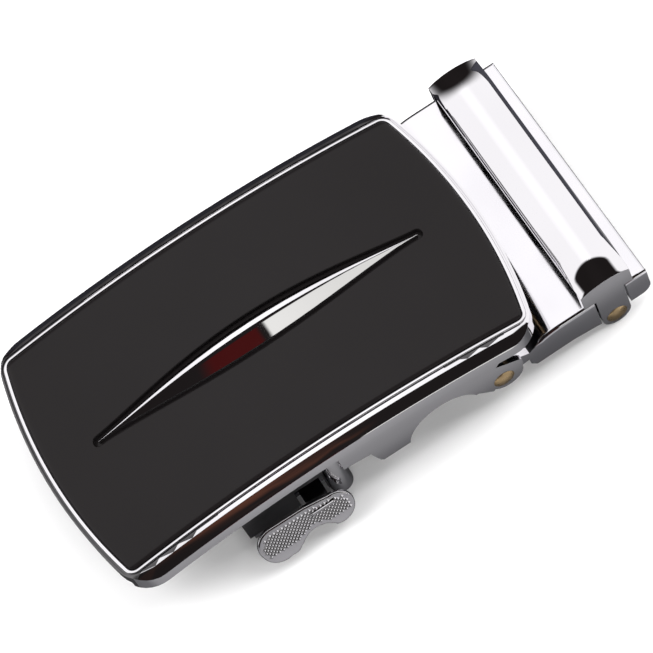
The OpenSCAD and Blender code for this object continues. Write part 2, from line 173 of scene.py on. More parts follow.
def pick(obj, kind, test):
    """Enters edit mode with the faces or edges selected that the test accepts."""
    take(obj)
    bpy.ops.object.mode_set(mode="EDIT")
    bpy.ops.mesh.select_mode(type=kind)
    bpy.ops.mesh.select_all(action="DESELECT")
    mesh = bmesh.from_edit_mesh(obj.data)
    items = mesh.faces if kind == "FACE" else mesh.edges
    found = [item for item in items if test(item)]
    for item in found:
        item.select_set(True)
    bmesh.update_edit_mesh(obj.data)
    if not found:
        raise RuntimeError(f"{obj.name}: nothing to select")


def leave():
    bpy.ops.object.mode_set(mode="OBJECT")


def middle(edge):
    return (edge.verts[0].co + edge.verts[1].co) / 2


def crease(edge):
    return math.degrees(edge.calc_face_angle(0.0)) if len(edge.link_faces) == 2 else 0.0


def solid_copy(node, name):
    """A merged copy of a CAD node, with its flat faces whole again."""
    obj = bpy.data.objects.new(name, NODES[node].data.copy())
    bpy.context.scene.collection.objects.link(obj)
    obj.data.materials.clear()
    take(obj)
    bpy.ops.object.mode_set(mode="EDIT")
    bpy.ops.mesh.select_all(action="SELECT")
    bpy.ops.mesh.customdata_custom_splitnormals_clear()
    bpy.ops.mesh.remove_doubles(threshold=2e-6)
    bpy.ops.mesh.dissolve_limited(angle_limit=math.radians(0.15))
    bpy.ops.mesh.select_all(action="DESELECT")
    leave()
    return obj


def round_edges(obj, width, segments, angle=30.0):
    apply_modifier(obj, "BEVEL", width=width * MM, segments=segments, limit_method="ANGLE",
                   angle_limit=math.radians(angle), use_clamp_overlap=True,
                   miter_outer="MITER_ARC", harden_normals=False)


def smooth(obj, angle=32.0):
    take(obj)
    bpy.ops.object.shade_smooth_by_angle(angle=math.radians(angle))
    apply_modifier(obj, "WEIGHTED_NORMAL", keep_sharp=True, weight=80)


def finish_piece(obj, body, slot, material, *nodes):
    settle(obj)
    obj.data.materials.clear()
    obj.data.materials.append(material)
    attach(obj, body)
    if nodes:
        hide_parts(*nodes)


# Materials

def node_group(name, inputs, outputs):
    """An empty shader group with named number inputs and outputs."""
    group = bpy.data.node_groups.new(name, "ShaderNodeTree")
    for label, kind, default in inputs:
        sock = group.interface.new_socket(name=label, in_out="INPUT", socket_type=kind)
        if default is not None:
            sock.default_value = default
    for label, kind in outputs:
        group.interface.new_socket(name=label, in_out="OUTPUT", socket_type=kind)
    return group, group.nodes.new("NodeGroupInput"), group.nodes.new("NodeGroupOutput")


def smudge_group():
    """Faint handling marks: a slow cloud and fine hair scratches, as one roughness value."""
    group, src, out = node_group(
        "handling_marks",
        [("Vector", "NodeSocketVector", None), ("Low", "NodeSocketFloat", 0.04),
         ("High", "NodeSocketFloat", 0.12), ("Size", "NodeSocketFloat", 220.0),
         ("Hairs", "NodeSocketFloat", 0.3)],
        [("Roughness", "NodeSocketFloat")])
    n, link = group.nodes, group.links.new
    cloud = n.new("ShaderNodeTexNoise")
    cloud.inputs["Detail"].default_value = 5.0
    link(src.outputs["Vector"], cloud.inputs["Vector"])
    link(src.outputs["Size"], cloud.inputs["Scale"])
    stretch = n.new("ShaderNodeMapping")
    stretch.inputs["Scale"].default_value = (1.0, 14.0, 1.0)
    stretch.inputs["Rotation"].default_value = (0.0, 0.0, math.radians(34))
    link(src.outputs["Vector"], stretch.inputs["Vector"])
    hair = n.new("ShaderNodeTexNoise")
    hair.inputs["Scale"].default_value = 900.0
    hair.inputs["Detail"].default_value = 3.0
    link(stretch.outputs["Vector"], hair.inputs["Vector"])
    pick_hairs = n.new("ShaderNodeMapRange")
    pick_hairs.inputs["From Min"].default_value = 0.58
    pick_hairs.inputs["From Max"].default_value = 0.75
    link(hair.outputs["Fac"], pick_hairs.inputs["Value"])
    part = n.new("ShaderNodeMath")
    part.operation = "MULTIPLY"
    link(pick_hairs.outputs["Result"], part.inputs[0])
    link(src.outputs["Hairs"], part.inputs[1])
    clouds = n.new("ShaderNodeMapRange")
    clouds.inputs["From Min"].default_value = 0.35
    clouds.inputs["From Max"].default_value = 0.7
    link(cloud.outputs["Fac"], clouds.inputs["Value"])
    both = n.new("ShaderNodeMath")
    both.operation = "MAXIMUM"
    link(clouds.outputs["Result"], both.inputs[0])
    link(part.outputs[0], both.inputs[1])
    spread = n.new("ShaderNodeMapRange")
    link(both.outputs[0], spread.inputs["Value"])
    link(src.outputs["Low"], spread.inputs["To Min"])
    link(src.outputs["High"], spread.inputs["To Max"])
    link(spread.outputs["Result"], out.inputs["Roughness"])
    return group


def tint_group():
    """A colour that drifts slightly over the surface, as plating and enamel do."""
    group, src, out = node_group(
        "colour_drift",
        [("Vector", "NodeSocketVector", None), ("Size", "NodeSocketFloat", 60.0),
         ("Colour", "NodeSocketColor", (0.8, 0.8, 0.8, 1.0)),
         ("Drift", "NodeSocketColor", (0.7, 0.7, 0.75, 1.0))],
        [("Colour", "NodeSocketColor")])
    n, link = group.nodes, group.links.new
    cloud = n.new("ShaderNodeTexNoise")
    cloud.inputs["Detail"].default_value = 2.0
    link(src.outputs["Vector"], cloud.inputs["Vector"])
    link(src.outputs["Size"], cloud.inputs["Scale"])
    mix = n.new("ShaderNodeMix")
    mix.data_type = "RGBA"
    link(cloud.outputs["Fac"], mix.inputs["Factor"])
    link(src.outputs["Colour"], mix.inputs[6])
    link(src.outputs["Drift"], mix.inputs[7])
    link(mix.outputs[2], out.inputs["Colour"])
    return group


def ripple_group():
    """The slight unevenness of a polished or pressed surface, as a bump height."""
    group, src, out = node_group(
        "surface_ripple",
        [("Vector", "NodeSocketVector", None), ("Size", "NodeSocketFloat", 80.0),
         ("Grain", "NodeSocketFloat", 1500.0), ("Grain depth", "NodeSocketFloat", 0.1)],
        [("Height", "NodeSocketFloat")])
    n, link = group.nodes, group.links.new
    slow = n.new("ShaderNodeTexNoise")
    slow.inputs["Detail"].default_value = 1.0
    link(src.outputs["Vector"], slow.inputs["Vector"])
    link(src.outputs["Size"], slow.inputs["Scale"])
    fine = n.new("ShaderNodeTexNoise")
    fine.inputs["Detail"].default_value = 2.0
    link(src.outputs["Vector"], fine.inputs["Vector"])
    link(src.outputs["Grain"], fine.inputs["Scale"])
    part = n.new("ShaderNodeMath")
    part.operation = "MULTIPLY_ADD"
    link(fine.outputs["Fac"], part.inputs[0])
    link(src.outputs["Grain depth"], part.inputs[1])
    link(slow.outputs["Fac"], part.inputs[2])
    link(part.outputs[0], out.inputs["Height"])
    return group


GROUPS = {}


def material(name, colour, drift, rough, bump, metallic=1.0, **sockets):
    """One finish: drifting colour, handling marks in the roughness, and a faint ripple.
    rough is (lowest, highest, cloud scale, share of hairs); bump is (ripple scale, grain
    scale, grain depth, height in millimetres, strength)."""
    if not GROUPS:
        GROUPS.update(marks=smudge_group(), tint=tint_group(), ripple=ripple_group())
    mat = bpy.data.materials.new(name)
    mat.use_nodes = True
    n, link = mat.node_tree.nodes, mat.node_tree.links.new
    shader = n["Principled BSDF"]
    coords = n.new("ShaderNodeTexCoord")

    def placed(key, **values):
        node = n.new("ShaderNodeGroup")
        node.node_tree = GROUPS[key]
        link(coords.outputs["Object"], node.inputs["Vector"])
        for label, value in values.items():
            node.inputs[label.replace("_", " ")].default_value = value
        return node

    tint = placed("tint", Colour=(*colour, 1.0), Drift=(*drift, 1.0))
    link(tint.outputs["Colour"], shader.inputs["Base Color"])
    marks = placed("marks", Low=rough[0], High=rough[1], Size=rough[2], Hairs=rough[3])
    link(marks.outputs["Roughness"], shader.inputs["Roughness"])
    ripple = placed("ripple", Size=bump[0], Grain=bump[1], Grain_depth=bump[2])
    relief = n.new("ShaderNodeBump")
    relief.inputs["Distance"].default_value = bump[3] * MM
    relief.inputs["Strength"].default_value = bump[4]
    link(ripple.outputs["Height"], relief.inputs["Height"])
    link(relief.outputs["Normal"], shader.inputs["Normal"])
    shader.inputs["Metallic"].default_value = metallic
    for label, value in sockets.items():
        shader.inputs[label.replace("_", " ")].default_value = value
    return mat


MATERIALS = {}


def finish_of(slot):
    """A finish by its name, made when it is first asked for. All of them but the shaded casting
    are slots of the record."""
    if slot in MATERIALS:
        return MATERIALS[slot]
    look = bpy.context.scene.buckle_finish
    colour = COLOUR_OF.get(slot, look.chrome)
    darker = tuple(c * 0.93 for c in colour)
    if slot == "polished_chrome":
        mat = material("polished chrome", look.chrome, darker,
                       (0.015, 0.06, 160.0, 0.3), (55.0, 2500.0, 0.02, 0.02, 0.25))
    elif slot == "panel_enamel":
        mat = material("black enamel", look.enamel, tuple(c * 1.25 for c in look.enamel),
                       (0.05, 0.12, 120.0, 0.2), (40.0, 3000.0, 0.03, 0.02, 0.12),
                       metallic=0.0, IOR=1.24)
    elif slot == "plated_steel":
        mat = material("nickel-plated sheet", look.nickel, darker,
                       (0.07, 0.16, 260.0, 0.5), (90.0, 3200.0, 0.06, 0.02, 0.35))
    elif slot == "raw_casting":
        # A dull, rough casting finish; its dark colour is painted shade for the frame's inside
        mat = material("dull casting with painted shade", (0.17, 0.165, 0.17), (0.11, 0.108, 0.11),
                       (0.28, 0.45, 500.0, 0.4), (400.0, 4200.0, 0.4, 0.03, 0.5))
    elif slot == "brass_rivet":
        mat = material("satin brass", look.brass, (0.52, 0.36, 0.18),
                       (0.22, 0.42, 900.0, 0.6), (700.0, 6000.0, 0.3, 0.03, 0.5))
    else:
        mat = material("knurled chrome", look.knurl, darker,
                       (0.08, 0.2, 500.0, 0.4), (300.0, 5000.0, 0.2, 0.02, 0.4))
    MATERIALS[slot] = mat
    return mat


# Sizes and colours

class BuckleEdges(bpy.types.PropertyGroup):
    """How softly the edges are rounded, in millimetres."""
    cast: bpy.props.FloatProperty(
        name="Cast edge", description="Width of the rounding on the casting's edges, in mm",
        default=0.14, min=0.02, max=0.3)
    sheet: bpy.props.FloatProperty(
        name="Sheet edge", description="Width of the rounding on the sheet steel's edges, in mm",
        default=0.12, min=0.02, max=0.3)
    bend: bpy.props.FloatProperty(
        name="Sheet bend", description="Outer radius of the clip plate's long bends, in mm",
        default=0.6, min=0.2, max=0.9)
    end: bpy.props.FloatProperty(
        name="Sheet end", description="Radius of the clip plate's outer end, in mm",
        default=0.35, min=0.1, max=0.5)
    bar: bpy.props.FloatProperty(
        name="Bar edge", description="Width of the rounding on the keeper bar's edges, in mm",
        default=0.22, min=0.05, max=0.5)


class BucklePanel(bpy.types.PropertyGroup):
    """The glossy panel and the pocket that its spindle lies in."""
    rise: bpy.props.FloatProperty(
        name="Pillow height", description="Height of the panel above the ring, in mm",
        default=0.35, min=0.1, max=0.5)
    moat: bpy.props.FloatProperty(
        name="Pocket margin", description="Gap between the spindle and its pocket, in mm",
        default=0.75, min=0.4, max=1.0)
    moat_depth: bpy.props.FloatProperty(
        name="Pocket depth", description="Depth of the pocket below the ring's crest, in mm",
        default=0.47, min=0.2, max=0.5)


class BuckleKnurl(bpy.types.PropertyGroup):
    """The studs on the release lever's thumb pad."""
    pitch: bpy.props.FloatProperty(
        name="Stud pitch", description="Distance between rows of studs, in mm",
        default=0.6, min=0.4, max=1.2)
    height: bpy.props.FloatProperty(
        name="Stud height", description="Height of a stud above the pad's floor, in mm",
        default=0.24, min=0.05, max=0.4)
    edge: bpy.props.FloatProperty(
        name="Rim rounding", description="Width of the rounding round the pad's front, in mm",
        default=0.3, min=0.05, max=0.45)
    border: bpy.props.FloatProperty(
        name="Border", description="Width of the smooth border round the studs, in mm",
        default=0.5, min=0.3, max=1.0)


class BuckleFinish(bpy.types.PropertyGroup):
    """Base colours of the finishes."""
    chrome: bpy.props.FloatVectorProperty(
        name="Chrome", description="Colour of the polished chrome", subtype="COLOR", size=3,
        default=COLOUR_OF["polished_chrome"], min=0.0, max=1.0)
    enamel: bpy.props.FloatVectorProperty(
        name="Enamel", description="Colour of the panel's enamel", subtype="COLOR", size=3,
        default=(0.009, 0.0078, 0.008), min=0.0, max=1.0)
    nickel: bpy.props.FloatVectorProperty(
        name="Nickel", description="Colour of the plated sheet", subtype="COLOR", size=3,
        default=(0.84, 0.83, 0.85), min=0.0, max=1.0)
    knurl: bpy.props.FloatVectorProperty(
        name="Knurled chrome", description="Colour of the thumb pad", subtype="COLOR", size=3,
        default=tuple(c * 0.7 for c in COLOUR_OF["knurled_chrome"]), min=0.0, max=1.0)
    brass: bpy.props.FloatVectorProperty(
        name="Brass", description="Colour of the rivet heads", subtype="COLOR", size=3,
        default=COLOUR_OF["brass_rivet"], min=0.0, max=1.0)


class BuckleStage(bpy.types.PropertyGroup):
    """The floor and the light."""
    overhead: bpy.props.FloatProperty(
        name="Overhead light", description="Brightness of the white ceiling light",
        default=1.35, min=0.0, max=5.0)
    lamp: bpy.props.FloatProperty(
        name="Floor lamp", description="Power of the soft lamps that light the floor, in watts",
        default=3.4, min=0.0, max=50.0)
    floor: bpy.props.FloatVectorProperty(
        name="Floor", description="Colour of the pale floor", subtype="COLOR", size=3,
        default=(0.93, 0.93, 0.93), min=0.0, max=1.0)


# Pieces

def drum(name, radius, length, steps):
    """A closed cylinder round the face's middle, for cutting with."""
    clear()
    bpy.ops.mesh.primitive_cylinder_add(
        vertices=steps, radius=radius * MM, depth=length * MM, location=FACE_ORIGIN)
    obj = bpy.context.object
    obj.name = name
    settle(obj)
    return obj


def ring_plan(grow):
    """The inlay ring's middle line grown by a distance, as points in millimetres."""
    half_l, half_w = RING_HALF_L + grow, RING_HALF_W + grow
    bow, corner = END_BOW + grow, max(RING_CORNER + grow, 0.05)
    bow_x, corner_y = half_l - bow, half_w - corner
    corner_x = bow_x + math.sqrt((bow - corner) ** 2 - corner_y ** 2)
    meet = math.asin(corner_y / (bow - corner))
    quarter = [(bow_x + bow * math.cos(meet * i / BOW_STEPS),
                bow * math.sin(meet * i / BOW_STEPS)) for i in range(BOW_STEPS + 1)]
    for i in range(1, CORNER_STEPS + 1):
        a = meet + (math.pi / 2 - meet) * i / CORNER_STEPS
        quarter.append((corner_x + corner * math.cos(a), corner_y + corner * math.sin(a)))
    back = quarter[:0:-1]
    return (quarter + [(-x, y) for x, y in quarter[::-1]]
            + [(-x, -y) for x, y in quarter[1:]] + [(x, -y) for x, y in back])


def raised_outline(name, profile, band=False):
    """A flat solid from steps of (growth of the ring's plan, height), lowest step first.
    A band has no middle: its last step is bridged to its first."""
    plan = ring_plan(profile[0][0])
    clear()
    bpy.ops.mesh.primitive_circle_add(vertices=len(plan), radius=MM,
                                      fill_type="NOTHING" if band else "NGON",
                                      location=at(0.0, 0.0, profile[0][1]))
    obj = bpy.context.object
    obj.name = name
    settle(obj)
    ring = sorted(obj.data.vertices, key=lambda v: math.atan2(
        v.co.y - FACE_ORIGIN.y, v.co.x - FACE_ORIGIN.x) % (2 * math.pi - 1e-6))
    for v, (x, y) in zip(ring, plan):
        v.co = at(x, y, profile[0][1])
    for grow, z in profile[1:]:
        before = {tuple(round(c, 5) for c in p): i for i, p in enumerate(plan)}
        plan = ring_plan(grow)
        take(obj)
        bpy.ops.object.mode_set(mode="EDIT")
        bpy.ops.mesh.select_mode(type="EDGE" if band else "FACE")
        bpy.ops.mesh.extrude_region_move(
            TRANSFORM_OT_translate={"value": (0.0, 0.0, 0.0)})
        mesh = bmesh.from_edit_mesh(obj.data)
        points = list(before)
        for v in [v for v in mesh.verts if v.select]:
            p = (v.co - FACE_ORIGIN) / MM
            near = min(points, key=lambda q: (q[0] - p.x) ** 2 + (q[1] - p.y) ** 2)
            v.co = at(*plan[before[near]], z)
        bmesh.update_edit_mesh(obj.data)
        leave()
    if band:
        pick(obj, "EDGE", lambda edge: len(edge.link_faces) == 1)
        bpy.ops.mesh.bridge_edge_loops()
        leave()
    take(obj)
    bpy.ops.object.mode_set(mode="EDIT")
    bpy.ops.mesh.select_all(action="SELECT")
    bpy.ops.mesh.normals_make_consistent(inside=False)
    leave()
    return obj


def arch_over(obj, step=1.25):
    """Slices a flat piece along the belt and lays it over the face's arch."""
    take(obj)
    low = min(v.co.x for v in obj.data.vertices)
    high = max(v.co.x for v in obj.data.vertices)
    bpy.ops.object.mode_set(mode="EDIT")
    place = low + step * MM
    while place < high:
        bpy.ops.mesh.select_all(action="SELECT")
        bpy.ops.mesh.bisect(plane_co=(place, 0.0, 0.0), plane_no=(1.0, 0.0, 0.0))
        place += step * MM
    leave()
    for v in obj.data.vertices:
        v.co.z += arch_z((v.co.x - FACE_ORIGIN.x) / MM) * MM


class BUCKLE_OT_cast_frame(bpy.types.Operator):
    """Rounds the cast frame's edges and the inlay ring's crest"""
    bl_idname = "buckle.cast_frame"
    bl_label = "Cast frame"

    def execute(self, context):
        edges = context.scene.buckle_edges
        obj = solid_copy("buckle_body", "cast_frame")
        room = raised_outline("ring_room", [(GROOVE_OUT, -GROOVE_DEPTH), (GROOVE_OUT, 1.5)])
        arch_over(room)
        cut_with(obj, room, "DIFFERENCE")

        def plain_edge(edge):
            p = (middle(edge) - FACE_ORIGIN) / MM
            return crease(edge) > EDGE_ANGLE and not near_ring(p)
        pick(obj, "EDGE", plain_edge)
        bpy.ops.mesh.bevel(offset=edges.cast * MM, segments=5, affect="EDGES",
                           clamp_overlap=True)
        leave()
        smooth(obj, angle=20.0)
        finish_piece(obj, "buckle", "polished_chrome", finish_of("polished_chrome"),
                     "buckle_body")
        # Faces inside the frame and under its rim get the dull casting, whose dark colour is
        # painted shade
        obj.data.materials.append(finish_of("raw_casting"))
        for face in obj.data.polygons:
            p = (face.center - FACE_ORIGIN) / MM
            if abs(p.y) < SHADED_CASTING_HALF_W and p.z < SHADED_CASTING_TOP and p.x < SHADED_CASTING_RIGHT:
                face.material_index = 1

        ring = raised_outline("inlay_ring", RING_PROFILE, band=True)
        arch_over(ring)
        smooth(ring, angle=60.0)
        finish_piece(ring, "buckle", "polished_chrome", finish_of("polished_chrome"))
        return {"FINISHED"}


def near_ring(p):
    """Whether a point, in millimetres, lies on the face's top within the ring's groove."""
    beside, below = 0.03, 0.1
    return p.z >= arch_z(p.x) - GROOVE_DEPTH - below \
        and abs(p.y) < RING_HALF_W + GROOVE_OUT + beside \
        and abs(p.x) < RING_HALF_L + GROOVE_OUT + beside


def spindle_half(x, margin):
    part = max(0.0, 1 - (x / SPINDLE_HALF_L) ** 2)
    return SPINDLE_HALF_W * part ** SPINDLE_TAPER + margin


class BUCKLE_OT_inlay_panel(bpy.types.Operator):
    """Makes the glossy panel with its pillow edge and the spindle's pocket"""
    bl_idname = "buckle.inlay_panel"
    bl_label = "Inlay panel"

    def execute(self, context):
        size = context.scene.buckle_panel
        profile = [(-PANEL_INSET, PANEL_FOOT), (-PANEL_INSET, PANEL_EDGE)]
        for wide, part in PILLOW_STEPS:
            grow, z = profile[-1]
            profile.append((grow - wide, z + part * (size.rise - PANEL_EDGE)))
        obj = raised_outline("inlay_panel", profile)
        cut_with(obj, self.pocket(size), "DIFFERENCE")

        def pocket_rim(edge):
            height = (middle(edge) - FACE_ORIGIN).z / MM
            return crease(edge) > POCKET_RIM_ANGLE and abs(height - size.rise) < NEAR
        pick(obj, "EDGE", pocket_rim)
        bpy.ops.mesh.bevel(offset=POCKET_RIM_W * MM, segments=3, affect="EDGES")
        leave()
        arch_over(obj)
        smooth(obj, angle=40.0)
        finish_piece(obj, "buckle", "panel_enamel", finish_of("panel_enamel"), "face_panel")
        return {"FINISHED"}

    def pocket(self, size):
        """The spindle's pocket, as a cutter that stands on the pocket's floor."""
        cutter = drum("pocket", radius=1.0, length=2.0, steps=POCKET_STEPS)
        for v in cutter.data.vertices:
            p = (v.co - FACE_ORIGIN) / MM
            turn = math.atan2(p.y, p.x)
            x = (SPINDLE_HALF_L + size.moat) * math.cos(turn)
            end = max(0.0, abs(x) - SPINDLE_HALF_L)
            side = math.sqrt(max(0.0, size.moat ** 2 - end ** 2))
            y = math.copysign(spindle_half(min(abs(x), SPINDLE_HALF_L), 0.0) + side, p.y)
            if abs(math.sin(turn)) < 1e-3:
                y = 0.0
            v.co = at(x, y, -size.moat_depth if p.z < 0 else 2.0)
        return cutter


class BUCKLE_OT_spindle(bpy.types.Operator):
    """Shades the spindle smooth between its sharp ridges, in chrome"""
    bl_idname = "buckle.spindle"
    bl_label = "Spindle"

    def execute(self, context):
        obj = solid_copy("spindle", "ridge_spindle")
        smooth(obj, angle=24.0)
        finish_piece(obj, "buckle", "polished_chrome", finish_of("polished_chrome"),
                     "spindle")
        return {"FINISHED"}


class BUCKLE_OT_strap_clip(bpy.types.Operator):
    """Rounds the clip plate's bends and the domed keeper bar"""
    bl_idname = "buckle.strap_clip"
    bl_label = "Strap clip"

    def execute(self, context):
        edges = context.scene.buckle_edges
        plate = solid_copy("clip_plate", "bent_clip_plate")

        def bend(edge):
            p = (middle(edge) - FACE_ORIGIN) / MM
            return crease(edge) > RIM_ANGLE and abs(abs(p.y) - CLIP_HALF) < NEAR \
                and p.z > CLIP_BEND_LOW and p.x > CLIP_BEND_X \
                and abs(edge.verts[0].co.y - edge.verts[1].co.y) < NEAR / 2 * MM
        pick(plate, "EDGE", bend)
        bpy.ops.mesh.bevel(offset=edges.bend * MM, segments=6, affect="EDGES",
                           clamp_overlap=False)
        leave()

        def outer_end(edge):
            p = (middle(edge) - FACE_ORIGIN) / MM
            return crease(edge) > RIM_ANGLE and p.x > CLIP_END_X - NEAR \
                and p.z > CLIP_TOP_LOW
        pick(plate, "EDGE", outer_end)
        bpy.ops.mesh.bevel(offset=edges.end * MM, segments=5, affect="EDGES",
                           clamp_overlap=False)
        leave()
        round_edges(plate, edges.sheet, 3, EDGE_ANGLE)
        smooth(plate)
        finish_piece(plate, "strap_clip", "plated_steel", finish_of("plated_steel"),
                     "clip_plate")

        bar = solid_copy("keeper_bar", "domed_keeper_bar")
        cut_with(bar, self.crown_room(), "DIFFERENCE")
        round_edges(bar, edges.bar, 4, EDGE_ANGLE)
        smooth(bar)
        finish_piece(bar, "strap_clip", "polished_chrome", finish_of("polished_chrome"),
                     "keeper_bar")
        return {"FINISHED"}

    def crown_room(self):
        """All that lies over the bar's dome, as a cutter."""
        half_w, half_l = BAR_W / 2 + 0.5, 19.6
        clear()
        bpy.ops.mesh.primitive_grid_add(
            x_subdivisions=48, y_subdivisions=120, size=1.0, location=at(BAR_X, 0.0, 0.0))
        obj = bpy.context.object
        obj.name = "crown_room"
        obj.scale = (2 * half_w * MM, 2 * half_l * MM, MM)
        settle(obj)
        bpy.ops.object.mode_set(mode="EDIT")
        bpy.ops.mesh.select_all(action="SELECT")
        bpy.ops.mesh.extrude_region_move(TRANSFORM_OT_translate={"value": (0.0, 0.0, 5 * MM)})
        bpy.ops.mesh.select_all(action="SELECT")
        bpy.ops.mesh.normals_make_consistent(inside=False)
        leave()
        for v in obj.data.vertices:
            p = (v.co - FACE_ORIGIN) / MM
            if p.z < 1:
                v.co.z = at(0.0, 0.0, BAR_TOP - crown_drop(p.x - BAR_X, p.y)).z
        return obj


def crown_drop(x, y):
    """How far the keeper bar's dome lies below its crown."""
    sag = BAR_CROWN_R - math.sqrt(BAR_CROWN_R ** 2 - min(abs(x), BAR_ROUND_X) ** 2)
    past = max(0.0, abs(y) - BAR_BEND_Y)
    curved = min(past, BAR_BEND_L)
    bend = BAR_BEND_R - math.sqrt(BAR_BEND_R ** 2 - curved ** 2) \
        + BAR_SLOPE * (past - curved)
    part = min(1.0, past / (BAR_END_Y - BAR_BEND_Y))
    return sag * (1 - BAR_FLATTEN * part ** 2) + bend


class BUCKLE_OT_hidden_steel(bpy.types.Operator):
    """Rounds the edges of the steel pieces at the back"""
    bl_idname = "buckle.hidden_steel"
    bl_label = "Steel pieces at the back"

    def execute(self, context):
        edges = context.scene.buckle_edges
        for node, name in (("back_plate", "bowed_back_plate"), ("clamp_jaw", "toothed_jaw"),
                           ("pawl", "ratchet_pawl")):
            obj = solid_copy(node, name)
            round_edges(obj, edges.sheet, 2, EDGE_ANGLE)
            smooth(obj)
            finish_piece(obj, BODY_OF[node], "plated_steel", finish_of("plated_steel"), node)
        NODES["pawl_pin"].data.materials.clear()
        NODES["pawl_pin"].data.materials.append(finish_of("plated_steel"))
        return {"FINISHED"}


class BUCKLE_OT_rivets(bpy.types.Operator):
    """Gives the riveted pins their satin brass"""
    bl_idname = "buckle.rivets"
    bl_label = "Rivets"

    def execute(self, context):
        for node, name in (("hinge_pin", "hinge_rivet"), ("clip_pin", "clip_rivet")):
            obj = solid_copy(node, name)
            round_edges(obj, width=0.06, segments=2, angle=50.0)
            smooth(obj, angle=40.0)
            finish_piece(obj, BODY_OF[node], "brass_rivet", finish_of("brass_rivet"), node)
        return {"FINISHED"}


# The thumb pad: where its plan's zero lies, at the top of its front, and how far it leans
PAD_TOP = (0.0, -20.34, -8.62)
PAD_TURN = math.radians(64)
# Its plan: rounds as (x, y, radius), the outline between them, and the round hollow
PAD_ROUNDS = ((-12.1, -2.75, 2.75), (-12.1, -3.25, 2.65), (-10.9, -4.25, 1.6),
              (-3.4, -3.15, 2.55))
PAD_CORE = ((-12.1, 0.0), (-7.0, -0.1), (-3.6, -0.6), (-3.45, -5.2), (-8.6, -4.8),
            (-10.9, -5.8), (-12.1, -5.85))
PAD_HOLLOW = (-7.0, -7.1, 3.05)
# The edge round its front turns by more than this
PAD_RIM_ANGLE = 50
# Half widths of a stud's foot and tip as shares of the pitch, and how far its foot is sunk
STUD_FOOT, STUD_TIP = 0.6, 0.13
STUD_SINK = 0.02
# What a stud's middle keeps clear of the border, and where and how many studs are tried
STUD_MARGIN = 0.22
STUD_START = (-15.0, -0.4)
STUD_ROWS, STUD_COLUMNS = 13, 24


def in_pad(x, y):
    """Whether a point of the pad's plan, in millimetres, lies on the pad."""
    if math.hypot(x - PAD_HOLLOW[0], y - PAD_HOLLOW[1]) < PAD_HOLLOW[2]:
        return False
    if any(math.hypot(x - cx, y - cy) < r for cx, cy, r in PAD_ROUNDS):
        return True
    inside = False
    for (x0, y0), (x1, y1) in zip(PAD_CORE, PAD_CORE[1:] + PAD_CORE[:1]):
        if (y0 > y) != (y1 > y) and x < (x1 - x0) * (y - y0) / (y1 - y0) + x0:
            inside = not inside
    return inside


class BUCKLE_OT_release_lever(bpy.types.Operator):
    """Makes the release lever with its bordered, studded thumb pad"""
    bl_idname = "buckle.release_lever"
    bl_label = "Release lever"

    def execute(self, context):
        size = context.scene.buckle_knurl
        edges = context.scene.buckle_edges
        obj = solid_copy("release_lever", "release_lever_finished")
        face_normal = Vector((0.0, -math.sin(PAD_TURN), math.cos(PAD_TURN)))
        front = face_normal.dot(at(*PAD_TOP))

        def pad_rim(edge):
            return crease(edge) > PAD_RIM_ANGLE and all(
                abs(v.co.dot(face_normal) - front) < NEAR * MM for v in edge.verts)
        pick(obj, "EDGE", pad_rim)
        bpy.ops.mesh.bevel(offset=size.edge * MM, segments=5, affect="EDGES",
                           clamp_overlap=False)
        leave()
        round_edges(obj, edges.cast, 3, EDGE_ANGLE)
        smooth(obj)

        turn = Matrix.Translation(at(*PAD_TOP)) @ Matrix.Rotation(PAD_TURN, 4, "X")
        margin = size.border + STUD_MARGIN
        around = [(margin * math.cos(a * math.pi / 6), margin * math.sin(a * math.pi / 6))
                  for a in range(12)]
        clear()
        bpy.ops.mesh.primitive_cone_add(
            vertices=4, radius1=STUD_FOOT * size.pitch * MM,
            radius2=STUD_TIP * size.pitch * MM, depth=size.height * MM)
        stud = bpy.context.object
        stud.name = "stud"
        settle(stud)
        round_edges(stud, width=0.03, segments=1, angle=30.0)
        studs = []
        step = size.pitch
        for row in range(STUD_ROWS):
            for col in range(STUD_COLUMNS):
                x = STUD_START[0] + col * step + (row % 2) * step / 2
                y = STUD_START[1] - row * step / 2
                if not all(in_pad(x + dx, y + dy) for dx, dy in around):
                    continue
                one = bpy.data.objects.new("stud", stud.data.copy())
                context.scene.collection.objects.link(one)
                one.matrix_world = turn @ Matrix.Translation(
                    Vector((x, y, size.height / 2 - STUD_SINK)) * MM)
                studs.append(one)
        bpy.data.objects.remove(stud)
        if not studs:
            raise RuntimeError("no stud fits on the thumb pad")
        clear()
        for one in studs:
            one.select_set(True)
        bpy.context.view_layer.objects.active = studs[0]
        bpy.ops.object.join()
        knurl = bpy.context.object
        knurl.name = "thumb_pad_studs"
        finish_piece(obj, "lever", "knurled_chrome", finish_of("knurled_chrome"),
                     "release_lever")
        finish_piece(knurl, "lever", "knurled_chrome", finish_of("knurled_chrome"))
        return {"FINISHED"}


# Stage

# The photo's camera, solved from the outline of the face
CAMERA_RIGHT = Vector((0.83802948, -0.49423948, -0.2311578))
CAMERA_UP = Vector((0.54497279, 0.73749109, 0.3988879))
CAMERA_PLACE = Vector((-0.010187, -0.203415, 0.401469))
CAMERA_LENS = 188.635
# The light's surround, by direction: each edge is an axis, where it starts and where it
# is full. The slant is Y with a share of X.
SLANT_SHARE = 0.1
DARK_ROOM = (0.012, 0.01, 0.01)
OVERHEAD = ((1.0, 0.99, 1.0), (("slant", -0.26, -0.15), ("Y", 0.93, 0.58)))
BROWN_STREAKS = ((0.085, 0.034, 0.022), (("Y", -0.70, -0.76), ("X", 0.10, 0.0),
                                         ("X", -0.36, -0.26), ("Z", 0.50, 0.56)))
